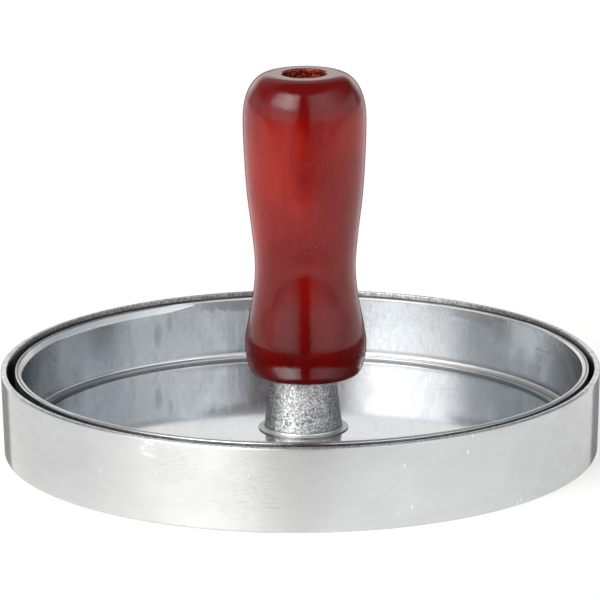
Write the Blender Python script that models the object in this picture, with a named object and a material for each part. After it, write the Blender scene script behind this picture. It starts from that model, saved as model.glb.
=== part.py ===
"""A hand press for burger patties.

A loose ring mould stands on the table. Inside it lies a press plate, a cast and turned dish with a
conical boss in its middle. A turned hardwood handle sits on the boss, held by one long machine screw
and a washer, which are dropped down a well in the handle's top and screwed into the boss.

Frame: metres, +Z up, the origin on the table at the centre of the mould ring.
"""

import math

import bmesh
import bpy

# ---- Driving dimensions, in metres ----------------------------------------------------------

TOUCH_GAP = 0.0003  # left between pieces that rest on each other or pass through each other

# Mould ring: a slice of thin-walled tube.
RING_OUTER_RADIUS = 0.070
RING_WALL = 0.0013
RING_HEIGHT = 0.0198
RING_DRAFT = 0.0005  # the ring is this much smaller in radius at its foot, so that a patty drops out
RING_OUTER_ROUND = 0.0005  # rounding of the outer edges
RING_INNER_ROUND = 0.0002  # the inner edges are only broken

# Press plate: floor, rim wall and boss in one casting.
PLATE_CLEARANCE = 0.00165  # radial, between the plate's rim and the top of the mould ring
PLATE_SHIFT = 0.00035  # the loose plate lies this far from the ring's centre, towards +X
PLATE_HEIGHT = 0.0195  # halfway round; the dish is machined a little out of square with its underside
DISH_LEAN = 0.009  # fall of the dish towards +Y, per unit of length
RIM_WALL = 0.00155
RIM_ROUND = 0.0003
WALL_DRAFT = 0.0002  # the rim wall is this much thicker at its foot
FLOOR_THICKNESS = 0.00455  # of the turned floor, at its centre
UNDERSIDE_CHAMFER = 0.0006

# Cast skin stands a small step above the turned floor, at the wall's foot and round the boss.
CAST_STEP = 0.0005
SKIRT_STEP = 0.00025
FLOOR_TURNED_RADIUS = 0.0629
FLOOR_TURNED_SHIFT = -0.0008  # the floor was turned off-centre by this much along X
WALL_FILLET = 0.0007
BOSS_SKIRT_RADIUS = 0.0105
BOSS_FILLET = 0.0004

# Boss and its tapped hole.
BOSS_SHIFT = 0.00027  # the cast boss stands this far off the plate's centre, towards +X
HOLE_SHIFT = 0.00095  # and the hole was drilled still further off
BOSS_FOOT_RADIUS = 0.00915
BOSS_TOP_RADIUS = 0.0076
BOSS_TOP_HEIGHT = 0.0178  # above the table
BOSS_EDGE_ROUND = 0.0004
TAPPED_HOLE_MOUTH = 0.0034  # radius of the countersink at the hole's mouth
TAPPED_HOLE_DEPTH = 0.0115
DRILL_POINT_ANGLE = math.radians(118)

# Handle: heights are above its own foot.
HANDLE_LENGTH = 0.07125
HANDLE_FOOT_RADIUS = 0.0120  # of the flat underside
HANDLE_TOP_RADIUS = 0.0074  # of the flat top
FOOT_FULLNESS = 1.83  # exponents of the rounded ends: 2 is an ellipse, more is squarer
SHOULDER_FULLNESS = 2.30
# The turned side between the two rounded ends, as (height, radius), bottom to top.
HANDLE_STATIONS = (
    (0.0071, 0.01418),
    (0.0116, 0.01358),
    (0.0185, 0.01229),
    (0.0255, 0.01172),  # the waist
    (0.0334, 0.01236),
    (0.0433, 0.01353),
    (0.0532, 0.01414),
    (0.0600, 0.01433),  # the widest place, under the shoulder
)
WELL_RADIUS = 0.00515
WELL_DEPTH = 0.022
WELL_CHAMFER = 0.0004
HANDLE_BORE_RADIUS = 0.0030

# Pan-head machine screw, 5 mm by 60 mm, with a slot.
SCREW_RADIUS = 0.0025
SCREW_LENGTH = 0.060
THREAD_LENGTH = 0.016
THREAD_PITCH = 0.0010
THREAD_DEPTH = 0.00045
THREAD_ROWS_PER_TURN = 4
HEAD_RADIUS = 0.0046
HEAD_HEIGHT = 0.0034
HEAD_SIDE_HEIGHT = 0.0016  # below the dome
SLOT_WIDTH = 0.0012
SLOT_DEPTH = 0.0015

# Flat washer.
WASHER_RADIUS = 0.0048
WASHER_THICKNESS = 0.0010

# Steps round the axis. Each is a multiple of 4, so that a turned piece reaches its full width.
RING_SIDES = 96
PLATE_SIDES = 80
HANDLE_SIDES = 44
SCREW_SIDES = 20
WASHER_SIDES = 28

# ---- Derived places --------------------------------------------------------------------------

RING_INNER_RADIUS = RING_OUTER_RADIUS - RING_WALL
PLATE_RADIUS = RING_INNER_RADIUS - PLATE_CLEARANCE
TAPPED_HOLE_RADIUS = SCREW_RADIUS + TOUCH_GAP
HANDLE_FOOT_HEIGHT = BOSS_TOP_HEIGHT + TOUCH_GAP
HANDLE_TOP_HEIGHT = HANDLE_FOOT_HEIGHT + HANDLE_LENGTH
WELL_SEAT_HEIGHT = HANDLE_TOP_HEIGHT - WELL_DEPTH
WASHER_HEIGHT = WELL_SEAT_HEIGHT + TOUCH_GAP
WASHER_HOLE_RADIUS = SCREW_RADIUS + TOUCH_GAP
HEAD_UNDERSIDE = WASHER_HEIGHT + WASHER_THICKNESS + TOUCH_GAP
SCREW_TIP = HEAD_UNDERSIDE - SCREW_LENGTH
CUTTER_MARGIN = 0.001  # how far a cutter runs past what it cuts
MESH_SLACK = 0.00001  # for telling which circle a vertex lies on


# ---- Outlines --------------------------------------------------------------------------------

def arc(centre_radius, centre_height, size, start, end, steps):
    """Points (radius, height) on a round of the given size, from one angle to another, in degrees."""
    points = []
    for step in range(steps + 1):
        angle = math.radians(start + (end - start) * step / steps)
        points.append((centre_radius + size * math.cos(angle), centre_height + size * math.sin(angle)))
    return points


def smooth_side(stations, steps_between):
    """Points on a cubic curve through the stations, upright at its two ends."""
    slopes = [0.0]
    for below, above in zip(stations[:-2], stations[2:]):
        slopes.append((above[1] - below[1]) / (above[0] - below[0]))
    slopes.append(0.0)
    points = []
    for index in range(len(stations) - 1):
        height_0, radius_0 = stations[index]
        height_1, radius_1 = stations[index + 1]
        span = height_1 - height_0
        for step in range(steps_between):
            t = step / steps_between
            radius = (
                (2 * t**3 - 3 * t**2 + 1) * radius_0
                + (t**3 - 2 * t**2 + t) * span * slopes[index]
                + (3 * t**2 - 2 * t**3) * radius_1
                + (t**3 - t**2) * span * slopes[index + 1]
            )
            points.append((radius, height_0 + t * span))
    points.append((stations[-1][1], stations[-1][0]))
    return points


def rounded_end(flat_radius, flat_height, side_radius, side_height, fullness, steps):
    """Points on a quarter superellipse, from the side of a turned piece to its flat end."""
    points = []
    for step in range(steps + 1):
        angle = math.pi / 2 * step / steps
        across = abs(math.cos(angle)) ** (2 / fullness)
        along = abs(math.sin(angle)) ** (2 / fullness)
        points.append((
            flat_radius + (side_radius - flat_radius) * across,
            side_height + (flat_height - side_height) * along,
        ))
    return points


# ---- Mesh making -----------------------------------------------------------------------------

def add_object(name, mesh_data, material, location=(0.0, 0.0, 0.0)):
    """A shaded object of the bmesh, which is freed."""
    mesh = bpy.data.meshes.new(name)
    mesh_data.to_mesh(mesh)
    mesh_data.free()
    mesh.shade_smooth()
    mesh.set_sharp_from_angle(angle=math.radians(35))
    obj = bpy.data.objects.new(name, mesh)
    obj.location = location
    if material is not None:
        mesh.materials.append(material)
    bpy.context.scene.collection.objects.link(obj)
    return obj


def turned(outline, sides, closed):
    """Spins an outline of (radius, height) points about Z; a closed outline makes a hollow ring."""
    shape = bmesh.new()
    points = [shape.verts.new((radius, 0.0, height)) for radius, height in outline]
    edges = [shape.edges.new(pair) for pair in zip(points[:-1], points[1:])]
    if closed:
        edges.append(shape.edges.new((points[-1], points[0])))
    bmesh.ops.spin(
        shape,
        geom=points + edges,
        cent=(0.0, 0.0, 0.0),
        axis=(0.0, 0.0, 1.0),
        angle=math.tau,
        steps=sides,
        use_merge=True,
    )
    bmesh.ops.remove_doubles(shape, verts=shape.verts, dist=1e-6)
    bmesh.ops.recalc_face_normals(shape, faces=shape.faces)
    return shape


def finish_material(name, color, metallic, roughness):
    material = bpy.data.materials.new(name)
    material.use_nodes = True
    shader = material.node_tree.nodes["Principled BSDF"]
    shader.inputs["Base Color"].default_value = (*color, 1.0)
    shader.inputs["Metallic"].default_value = metallic
    shader.inputs["Roughness"].default_value = roughness
    return material


# ---- Pieces ----------------------------------------------------------------------------------

def make_mould_ring(material):
    outer, inner = RING_OUTER_RADIUS, RING_INNER_RADIUS
    big, small, top = RING_OUTER_ROUND, RING_INNER_ROUND, RING_HEIGHT
    outline = arc(outer - RING_DRAFT - big, big, big, -90, 0, 3)
    outline += arc(outer - big, top - big, big, 0, 90, 3)
    outline += arc(inner + small, top - small, small, 90, 180, 1)
    outline += arc(inner - RING_DRAFT + small, small, small, 180, 270, 1)
    return add_object("mould_ring", turned(outline, RING_SIDES, closed=True), material)


def plate_outline():
    """From the middle of the underside, out and over the rim, down to the floor and up the boss."""
    rim_inner = PLATE_RADIUS - RIM_WALL
    wall_foot = rim_inner - WALL_DRAFT
    cast_floor = FLOOR_THICKNESS + CAST_STEP
    skirt_top = FLOOR_THICKNESS + SKIRT_STEP
    fillet_height = cast_floor + WALL_FILLET
    hole_floor = BOSS_TOP_HEIGHT - TAPPED_HOLE_DEPTH
    hole_mouth_depth = TAPPED_HOLE_MOUTH - TAPPED_HOLE_RADIUS
    drill_point = TAPPED_HOLE_RADIUS / math.tan(DRILL_POINT_ANGLE / 2)
    outline = [
        (0.0, 0.0),
        (PLATE_RADIUS - UNDERSIDE_CHAMFER, 0.0),
        (PLATE_RADIUS, UNDERSIDE_CHAMFER),
    ]
    outline += arc(PLATE_RADIUS - RIM_ROUND, PLATE_HEIGHT - RIM_ROUND, RIM_ROUND, 0, 90, 2)
    outline += arc(rim_inner + RIM_ROUND, PLATE_HEIGHT - RIM_ROUND, RIM_ROUND, 90, 180, 2)
    outline += arc(wall_foot - WALL_FILLET, fillet_height, WALL_FILLET, 0, -90, 3)
    outline += [
        (FLOOR_TURNED_RADIUS, cast_floor),
        (FLOOR_TURNED_RADIUS, FLOOR_THICKNESS),
        (BOSS_SKIRT_RADIUS, FLOOR_THICKNESS),
        (BOSS_SKIRT_RADIUS, skirt_top),
    ]
    outline += arc(BOSS_FOOT_RADIUS + BOSS_FILLET, skirt_top + BOSS_FILLET, BOSS_FILLET, 250, 180, 3)
    outline += arc(
        BOSS_TOP_RADIUS - BOSS_EDGE_ROUND, BOSS_TOP_HEIGHT - BOSS_EDGE_ROUND, BOSS_EDGE_ROUND, 0, 90, 2
    )
    outline += [
        (TAPPED_HOLE_MOUTH, BOSS_TOP_HEIGHT),
        (TAPPED_HOLE_RADIUS, BOSS_TOP_HEIGHT - hole_mouth_depth),
        (TAPPED_HOLE_RADIUS, hole_floor),
        (0.0, hole_floor - drill_point),
    ]
    return outline


def shift_and_lean(plate):
    """Moves the boss, its hole and the turned floor off-centre, and lets the dish fall towards +Y.

    The underside, the boss's flat top and the hole stay level.
    """
    for vertex in plate.verts:
        radius = math.hypot(vertex.co.x, vertex.co.y)
        if vertex.co.z <= UNDERSIDE_CHAMFER + MESH_SLACK:
            continue
        if radius < TAPPED_HOLE_MOUTH + MESH_SLACK:
            vertex.co.x += HOLE_SHIFT
            continue
        if radius > BOSS_SKIRT_RADIUS + MESH_SLACK:
            if abs(radius - FLOOR_TURNED_RADIUS) < MESH_SLACK:
                vertex.co.x += FLOOR_TURNED_SHIFT
            vertex.co.z -= DISH_LEAN * vertex.co.y
            continue
        above_floor = max(0.0, vertex.co.z - FLOOR_THICKNESS)
        share = 1 - above_floor / (BOSS_TOP_HEIGHT - FLOOR_THICKNESS)
        vertex.co.x += BOSS_SHIFT
        vertex.co.z -= DISH_LEAN * vertex.co.y * share


def make_press_plate(material, parent):
    shape = turned(plate_outline(), PLATE_SIDES, closed=False)
    shift_and_lean(shape)
    plate = add_object("press_plate", shape, material, (-HOLE_SHIFT, 0.0, 0.0))
    plate.parent = parent
    return plate


def handle_outline():
    """Up the outside from the flat foot to the flat top, then down the well and the bore."""
    first, last = HANDLE_STATIONS[0], HANDLE_STATIONS[-1]
    foot = rounded_end(HANDLE_FOOT_RADIUS, 0.0, first[1], first[0], FOOT_FULLNESS, 5)
    shoulder = rounded_end(HANDLE_TOP_RADIUS, HANDLE_LENGTH, last[1], last[0], SHOULDER_FULLNESS, 7)
    seat = HANDLE_LENGTH - WELL_DEPTH
    outline = foot[::-1]
    outline += smooth_side(HANDLE_STATIONS, 2)[1:-1]
    outline += shoulder
    outline += [
        (WELL_RADIUS + WELL_CHAMFER, HANDLE_LENGTH),
        (WELL_RADIUS, HANDLE_LENGTH - WELL_CHAMFER),
        (WELL_RADIUS, seat),
        (HANDLE_BORE_RADIUS, seat),
        (HANDLE_BORE_RADIUS, 0.0),
    ]
    return outline


def make_wood_handle(material, parent):
    shape = turned(handle_outline(), HANDLE_SIDES, closed=True)
    handle = add_object("wood_handle", shape, material, (0.0, 0.0, HANDLE_FOOT_HEIGHT))
    handle.parent = parent
    return handle


def thread_radius(turn, height):
    """The screw's radius at an angle (in turns) and a height above its tip, on a V thread that runs out."""
    phase = (height / THREAD_PITCH - turn) % 1.0
    ridge = abs(2 * phase - 1)
    from_ends = min(height, THREAD_LENGTH - height) / THREAD_PITCH
    depth = THREAD_DEPTH * max(0.0, min(1.0, from_ends))
    tip_taper = THREAD_DEPTH * max(0.0, 1 - height / THREAD_PITCH)
    return SCREW_RADIUS - tip_taper - depth * (1 - ridge)


def screw_rows():
    """Heights above the tip, each with one radius for each side, up to the top of the head's dome."""
    turns = round(THREAD_LENGTH / THREAD_PITCH)
    rows = []
    for row in range(turns * THREAD_ROWS_PER_TURN + 1):
        height = row * THREAD_PITCH / THREAD_ROWS_PER_TURN
        rows.append((height, [thread_radius(side / SCREW_SIDES, height) for side in range(SCREW_SIDES)]))
    plain = [(SCREW_LENGTH, SCREW_RADIUS), (SCREW_LENGTH, HEAD_RADIUS)]
    dome = rounded_end(0.0, SCREW_LENGTH + HEAD_HEIGHT, HEAD_RADIUS, SCREW_LENGTH + HEAD_SIDE_HEIGHT, 2, 4)
    plain += [(height, radius) for radius, height in dome[:-1]]
    rows += [(height, [radius] * SCREW_SIDES) for height, radius in plain]
    return rows


def screw_body():
    """The threaded shank and the domed head as one closed skin."""
    shape = bmesh.new()
    rings = []
    for height, radii in screw_rows():
        ring = []
        for side, radius in enumerate(radii):
            angle = math.tau * side / SCREW_SIDES
            ring.append(shape.verts.new((radius * math.cos(angle), radius * math.sin(angle), height)))
        rings.append(ring)
    for low, high in zip(rings[:-1], rings[1:]):
        for side in range(SCREW_SIDES):
            after = (side + 1) % SCREW_SIDES
            shape.faces.new((low[side], low[after], high[after], high[side]))
    shape.faces.new(rings[0][::-1])
    crown = shape.verts.new((0.0, 0.0, SCREW_LENGTH + HEAD_HEIGHT))
    for side in range(SCREW_SIDES):
        shape.faces.new((rings[-1][side], rings[-1][(side + 1) % SCREW_SIDES], crown))
    bmesh.ops.recalc_face_normals(shape, faces=shape.faces)
    return shape


def make_handle_screw(material, parent):
    screw = add_object("handle_screw", screw_body(), material, (0.0, 0.0, SCREW_TIP))
    screw.parent = parent

    slot = bmesh.new()
    bmesh.ops.create_cube(slot, size=1.0)
    bmesh.ops.scale(
        slot,
        verts=slot.verts,
        vec=(2 * (HEAD_RADIUS + CUTTER_MARGIN), SLOT_WIDTH, 2 * SLOT_DEPTH),
    )
    slot_cutter = add_object("slot_cutter", slot, None, (0.0, 0.0, SCREW_TIP + SCREW_LENGTH + HEAD_HEIGHT))
    slot_cutter.rotation_euler.z = math.radians(25)
    slot_cutter.hide_render = True
    slot_cutter.display_type = "WIRE"
    slot_cutter.parent = parent

    cut = screw.modifiers.new("driver_slot", "BOOLEAN")
    cut.operation = "DIFFERENCE"
    cut.object = slot_cutter
    return screw


def make_flat_washer(material, parent):
    outline = [
        (WASHER_HOLE_RADIUS, 0.0),
        (WASHER_RADIUS, 0.0),
        (WASHER_RADIUS, WASHER_THICKNESS),
        (WASHER_HOLE_RADIUS, WASHER_THICKNESS),
    ]
    shape = turned(outline, WASHER_SIDES, closed=True)
    washer = add_object("flat_washer", shape, material, (0.0, 0.0, WASHER_HEIGHT))
    washer.parent = parent
    return washer


# ---- The whole press -------------------------------------------------------------------------

def clear_scene():
    for obj in list(bpy.data.objects):
        bpy.data.objects.remove(obj, do_unlink=True)


def make_press():
    ring_metal = finish_material("ring_aluminium", (0.66, 0.66, 0.67), 1.0, 0.34)
    plate_metal = finish_material("plate_aluminium", (0.70, 0.71, 0.73), 1.0, 0.24)
    stained_wood = finish_material("stained_hardwood", (0.20, 0.012, 0.010), 0.0, 0.16)
    zinc_steel = finish_material("zinc_steel", (0.58, 0.58, 0.55), 1.0, 0.30)

    make_mould_ring(ring_metal)

    # Everything that lifts out of the ring hangs on this one frame, on the axis of the tapped hole.
    press = bpy.data.objects.new("press_axis", None)
    press.location = (PLATE_SHIFT + HOLE_SHIFT, 0.0, 0.0)
    bpy.context.scene.collection.objects.link(press)
    make_press_plate(plate_metal, press)
    make_wood_handle(stained_wood, press)
    make_handle_screw(zinc_steel, press)
    make_flat_washer(zinc_steel, press)


clear_scene()
make_press()
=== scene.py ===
"""The looks of the patty press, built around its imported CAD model.

Every CAD node is replaced by a finer mesh of the same piece: the turned skins with their rounded and
filed edges, the cast grain on the boss, the sprayed lacquer on the wood. Units are metres, +Z is up,
and the mould ring stands on z = 0 round the Z axis.
"""

import math
import random

import bpy
from mathutils import Matrix, Vector, noise


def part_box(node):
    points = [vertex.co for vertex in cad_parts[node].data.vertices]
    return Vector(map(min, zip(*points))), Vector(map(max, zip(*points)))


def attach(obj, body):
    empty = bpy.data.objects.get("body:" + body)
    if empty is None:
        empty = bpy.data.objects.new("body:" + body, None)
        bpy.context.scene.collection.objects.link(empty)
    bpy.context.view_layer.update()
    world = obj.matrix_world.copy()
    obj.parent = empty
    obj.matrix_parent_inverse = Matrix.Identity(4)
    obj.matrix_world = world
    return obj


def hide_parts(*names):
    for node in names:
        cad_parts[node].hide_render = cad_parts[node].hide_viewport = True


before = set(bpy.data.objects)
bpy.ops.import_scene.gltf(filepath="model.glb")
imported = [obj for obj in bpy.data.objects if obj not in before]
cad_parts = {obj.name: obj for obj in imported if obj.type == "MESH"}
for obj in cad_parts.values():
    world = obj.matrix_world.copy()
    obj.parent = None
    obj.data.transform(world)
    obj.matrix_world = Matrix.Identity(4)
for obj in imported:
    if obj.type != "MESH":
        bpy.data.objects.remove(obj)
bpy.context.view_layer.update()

MM = 0.001

# ---- Places and sizes from the frame -----------------------------------------------------------

_, ring_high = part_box("mould_ring")
plate_low, plate_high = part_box("press_plate")
handle_low, handle_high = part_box("wood_handle")
screw_low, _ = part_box("handle_screw")
washer_low, washer_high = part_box("flat_washer")

RING_RADIUS = ring_high.x
RING_HEIGHT = ring_high.z
PLATE_AXIS = Vector(((plate_low.x + plate_high.x) / 2, 0.0, 0.0))
PLATE_RADIUS = (plate_high.x - plate_low.x) / 2
HANDLE_AXIS = Vector(((handle_low.x + handle_high.x) / 2, 0.0, 0.0))
HANDLE_FOOT = handle_low.z
HANDLE_LENGTH = handle_high.z - handle_low.z
SCREW_TIP = screw_low.z
WASHER_FOOT = washer_low.z
WASHER_THICKNESS = washer_high.z - washer_low.z
WASHER_RADIUS = (washer_high.x - washer_low.x) / 2

# ---- The rest of each piece's outline, as the CAD has it ---------------------------------------

RING_WALL = 1.3 * MM
RING_DRAFT = 0.5 * MM  # the ring is this much smaller in radius at its foot
RING_OUTER_ROUND = 0.5 * MM
RING_INNER_ROUND = 0.2 * MM

RIM_HEIGHT = 19.5 * MM  # halfway round
DISH_LEAN = 0.009  # fall of the dish towards +Y, per unit of length
RIM_WALL = 1.55 * MM
RIM_ROUND = 0.3 * MM
WALL_DRAFT = 0.2 * MM
WALL_FILLET = 0.7 * MM
UNDERSIDE_CHAMFER = 0.6 * MM
FLOOR_HEIGHT = 4.55 * MM
FLOOR_TURNED_RADIUS = 62.9 * MM
FLOOR_TURNED_SHIFT = -0.8 * MM
CAST_STEP = 0.5 * MM
CAST_FLOOR = FLOOR_HEIGHT + CAST_STEP
SKIRT_TOP = FLOOR_HEIGHT + 0.25 * MM

BOSS_SHIFT = 0.27 * MM  # from the plate's centre towards +X
HOLE_SHIFT = HANDLE_AXIS.x - PLATE_AXIS.x
BOSS_SKIRT_RADIUS = 10.5 * MM
BOSS_FILLET = 0.4 * MM
BOSS_GRAIN_FROM = SKIRT_TOP + 1.4 * BOSS_FILLET
BOSS_FOOT_RADIUS = 9.15 * MM
BOSS_TOP_RADIUS = 7.6 * MM
BOSS_TOP_HEIGHT = 17.8 * MM
BOSS_EDGE_ROUND = 0.4 * MM
TAPPED_HOLE_RADIUS = 2.8 * MM
TAPPED_HOLE_MOUTH = 3.4 * MM
TAPPED_HOLE_DEPTH = 11.5 * MM

HANDLE_FOOT_RADIUS = 12.0 * MM
HANDLE_TOP_RADIUS = 7.4 * MM
FOOT_FULLNESS = 1.83
SHOULDER_FULLNESS = 2.30
HANDLE_STATIONS = (  # (height above the foot, radius), both in mm
    (7.1, 14.18),
    (11.6, 13.58),
    (18.5, 12.29),
    (25.5, 11.72),
    (33.4, 12.36),
    (43.3, 13.53),
    (53.2, 14.14),
    (60.0, 14.33),
)
WELL_RADIUS = 5.15 * MM
WELL_DEPTH = 22.0 * MM
WELL_CHAMFER = 0.4 * MM
HANDLE_BORE_RADIUS = 3.0 * MM

SCREW_RADIUS = 2.5 * MM
SCREW_LENGTH = 60.0 * MM
THREAD_LENGTH = 16.0 * MM
THREAD_PITCH = 1.0 * MM
THREAD_DEPTH = 0.45 * MM
HEAD_RADIUS = 4.6 * MM
HEAD_HEIGHT = 3.4 * MM
HEAD_SIDE_HEIGHT = 1.6 * MM
HEAD_UNDER_ROUND = 0.2 * MM
DOME_FULLNESS = 2.2
SLOT_WIDTH = 1.2 * MM
SLOT_DEPTH = 1.5 * MM
SLOT_TURN = math.radians(25)
WASHER_HOLE_RADIUS = 2.8 * MM
WASHER_EDGE_ROUND = 0.15 * MM

# ---- Surface detail ----------------------------------------------------------------------------

SHARP_ANGLE = math.radians(38)  # faces that meet at more than this keep a crisp edge
RING_COLUMNS = 480
PLATE_COLUMNS = 480
HANDLE_COLUMNS = 256
SCREW_COLUMNS = 64
WASHER_COLUMNS = 96

# The inner edge of the rim was filed by hand between these azimuths, in degrees from +X towards +Y,
# which is the back.
FILED_FROM = 112.0
FILED_TO = 196.0
FILED_HEIGHT = 1.8 * MM
FILED_DEPTH = 1.05 * MM

# Marks on the ring lie at azimuths in degrees from the front, + to the right. Scuffs are given as
# (azimuth, height, reach).
RING_SCUFFS = (
    (-10, 9 * MM, 15 * MM),
    (-23, 14 * MM, 9 * MM),
)
# A painted highlight: a bright glint patch just below the ring's top edge, at this azimuth and height.
GLINT_AZIMUTH = -29
GLINT_HEIGHT = 17.4 * MM

# Oval patches: (centre in the piece's own frame, reach along x, y and z).
SOOT_PATCHES = (
    ((-13 * MM, 66 * MM, 17 * MM), (16 * MM, 16 * MM, 16 * MM)),
    ((43 * MM, 52 * MM, 17 * MM), (9 * MM, 9 * MM, 9 * MM)),
)
SMUDGE_PATCHES = (
    ((-35.4 * MM, 57 * MM, 12.2 * MM), (1.5 * MM, 4 * MM, 5.0 * MM)),
    ((-32.4 * MM, 59 * MM, 14.6 * MM), (1.1 * MM, 4 * MM, 3.6 * MM)),
)
PORE_PATCHES = (
    ((0.0, -HANDLE_FOOT_RADIUS, 32 * MM), (11 * MM, 9 * MM, 4 * MM)),
    ((-1 * MM, -HANDLE_FOOT_RADIUS, 53 * MM), (4 * MM, 9 * MM, 10 * MM)),
)

random.seed(11)


# ---- Outlines ----------------------------------------------------------------------------------

def arc(centre_radius, centre_height, size, start, end, steps):
    """Points (radius, height) on a round of the given size, from one angle to another, in degrees."""
    points = []
    for step in range(steps + 1):
        angle = math.radians(start + (end - start) * step / steps)
        points.append((centre_radius + size * math.cos(angle), centre_height + size * math.sin(angle)))
    return points


def straight(start, end, steps):
    """Points from start up to, but not including, end."""
    return [
        (start[0] + (end[0] - start[0]) * step / steps, start[1] + (end[1] - start[1]) * step / steps)
        for step in range(steps)
    ]


def smooth_side(stations, steps_between):
    """Points on a cubic curve through the stations, upright at its two ends."""
    slopes = [0.0]
    for below, above in zip(stations[:-2], stations[2:]):
        slopes.append((above[1] - below[1]) / (above[0] - below[0]))
    slopes.append(0.0)
    points = []
    for index in range(len(stations) - 1):
        height_0, radius_0 = stations[index]
        height_1, radius_1 = stations[index + 1]
        span = height_1 - height_0
        for step in range(steps_between):
            t = step / steps_between
            radius = (
                (2 * t**3 - 3 * t**2 + 1) * radius_0
                + (t**3 - 2 * t**2 + t) * span * slopes[index]
                + (3 * t**2 - 2 * t**3) * radius_1
                + (t**3 - t**2) * span * slopes[index + 1]
            )
            points.append((radius, height_0 + t * span))
    points.append((stations[-1][1], stations[-1][0]))
    return points


def rounded_end(flat_radius, flat_height, side_radius, side_height, fullness, steps):
    """Points on a quarter superellipse, from the side of a turned piece to its flat end."""
    points = []
    for step in range(steps + 1):
        angle = math.pi / 2 * step / steps
        across = abs(math.cos(angle)) ** (2 / fullness)
        along = abs(math.sin(angle)) ** (2 / fullness)
        points.append((
            flat_radius + (side_radius - flat_radius) * across,
            side_height + (flat_height - side_height) * along,
        ))
    return points


def smoothstep(low, high, value):
    t = max(0.0, min(1.0, (value - low) / (high - low)))
    return t * t * (3 - 2 * t)


# ---- Mesh making -------------------------------------------------------------------------------

def turned(name, outline_at, columns, location=(0.0, 0.0, 0.0), move=None):
    """A closed skin swept round Z. outline_at(angle) gives the (radius, height) points of one column.

    An outline that starts and ends on the axis closes at its two poles; any other is a closed loop.
    Last of all, move(x, y, z) may put each point somewhere else.
    """
    outlines = [outline_at(math.tau * column / columns) for column in range(columns)]
    has_poles = outlines[0][0][0] == 0.0
    body = slice(1, -1) if has_poles else slice(None)
    points = []
    for column, outline in enumerate(outlines):
        cosine = math.cos(math.tau * column / columns)
        sine = math.sin(math.tau * column / columns)
        points += [(radius * cosine, radius * sine, height) for radius, height in outline[body]]
    rows = len(outlines[0][body])
    faces = []
    for column in range(columns):
        here = column * rows
        beside = (column + 1) % columns * rows
        for row in range(rows if not has_poles else rows - 1):
            above = (row + 1) % rows
            faces.append((here + row, beside + row, beside + above, here + above))
        if has_poles:
            faces.append((len(outlines) * rows, beside, here))
            faces.append((len(outlines) * rows + 1, here + rows - 1, beside + rows - 1))
    if has_poles:
        points += [(0.0, 0.0, outlines[0][0][1]), (0.0, 0.0, outlines[0][-1][1])]
    if move is not None:
        points = [move(*point) for point in points]
    mesh = bpy.data.meshes.new(name)
    mesh.from_pydata(points, [], faces)
    mesh.shade_smooth()
    mesh.set_sharp_from_angle(angle=SHARP_ANGLE)
    piece = bpy.data.objects.new(name, mesh)
    piece.location = location
    bpy.context.scene.collection.objects.link(piece)
    return piece


def ripple(angle, radius, height, size, offset=0.0):
    """Smooth noise from -1 to 1 on a surface point, with lumps of about the given size."""
    place = Vector((radius * math.cos(angle), radius * math.sin(angle), height))
    return noise.noise(place / size + Vector((offset, offset, offset)))


# ---- Mould ring --------------------------------------------------------------------------------

def make_dents(count):
    """Small knocks on the outside of the ring: (angle, height, half width, depth)."""
    dents = []
    for _ in range(count):
        dents.append((
            random.uniform(0, math.tau),
            random.uniform(0.12, 0.97) * RING_HEIGHT,
            random.uniform(0.35, 1.1) * MM,
            random.uniform(0.02, 0.07) * MM,
        ))
    return dents


def make_mould_ring():
    outer = RING_RADIUS
    inner = RING_RADIUS - RING_WALL
    big, small, top = RING_OUTER_ROUND, RING_INNER_ROUND, RING_HEIGHT
    base = arc(outer - RING_DRAFT - big, big, big, -90, 0, 6)
    base += straight((outer - RING_DRAFT, big), (outer, top - big), 34)[1:]
    base += arc(outer - big, top - big, big, 0, 90, 6)
    base += arc(inner + small, top - small, small, 90, 180, 3)
    base += straight((inner, top - small), (inner - RING_DRAFT, small), 16)[1:]
    base += arc(inner - RING_DRAFT + small, small, small, 180, 270, 3)
    outward_from = (outer + inner - RING_DRAFT) / 2
    dents = make_dents(30)

    def outline_at(angle):
        points = []
        for radius, height in base:
            inward = 0.010 * MM * (1 + ripple(angle, radius, 3 * height, 11 * MM))
            for at, level, half_width, depth in dents:
                across = ((angle - at + math.pi) % math.tau - math.pi) * outer
                if abs(across) < 3 * half_width:
                    away = (across**2 + (height - level) ** 2) / half_width**2
                    inward += depth * math.exp(-away)
            if height > top - big:
                sawn = 0.028 * MM * (1 + ripple(angle, radius, height, 0.9 * MM, 7.0))
                height -= sawn * smoothstep(top - big, top, height)
            if radius < outward_from:
                inward = 0.0
            points.append((radius - inward, height))
        return points

    return turned("ring_skin", outline_at, RING_COLUMNS)


# ---- Press plate -------------------------------------------------------------------------------

def filed_share(angle):
    """0 where the rim keeps its turned edge, up to 1 where it was filed most."""
    azimuth = math.degrees(angle)
    begun = smoothstep(FILED_FROM, FILED_FROM + 9, azimuth)
    ended = smoothstep(FILED_TO - 22, FILED_TO, azimuth)
    wander = 0.86 + 0.20 * noise.noise(Vector((azimuth / 9, 0.5, 0.5)))
    return max(0.0, begun * (1 - ended) * wander)


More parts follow.
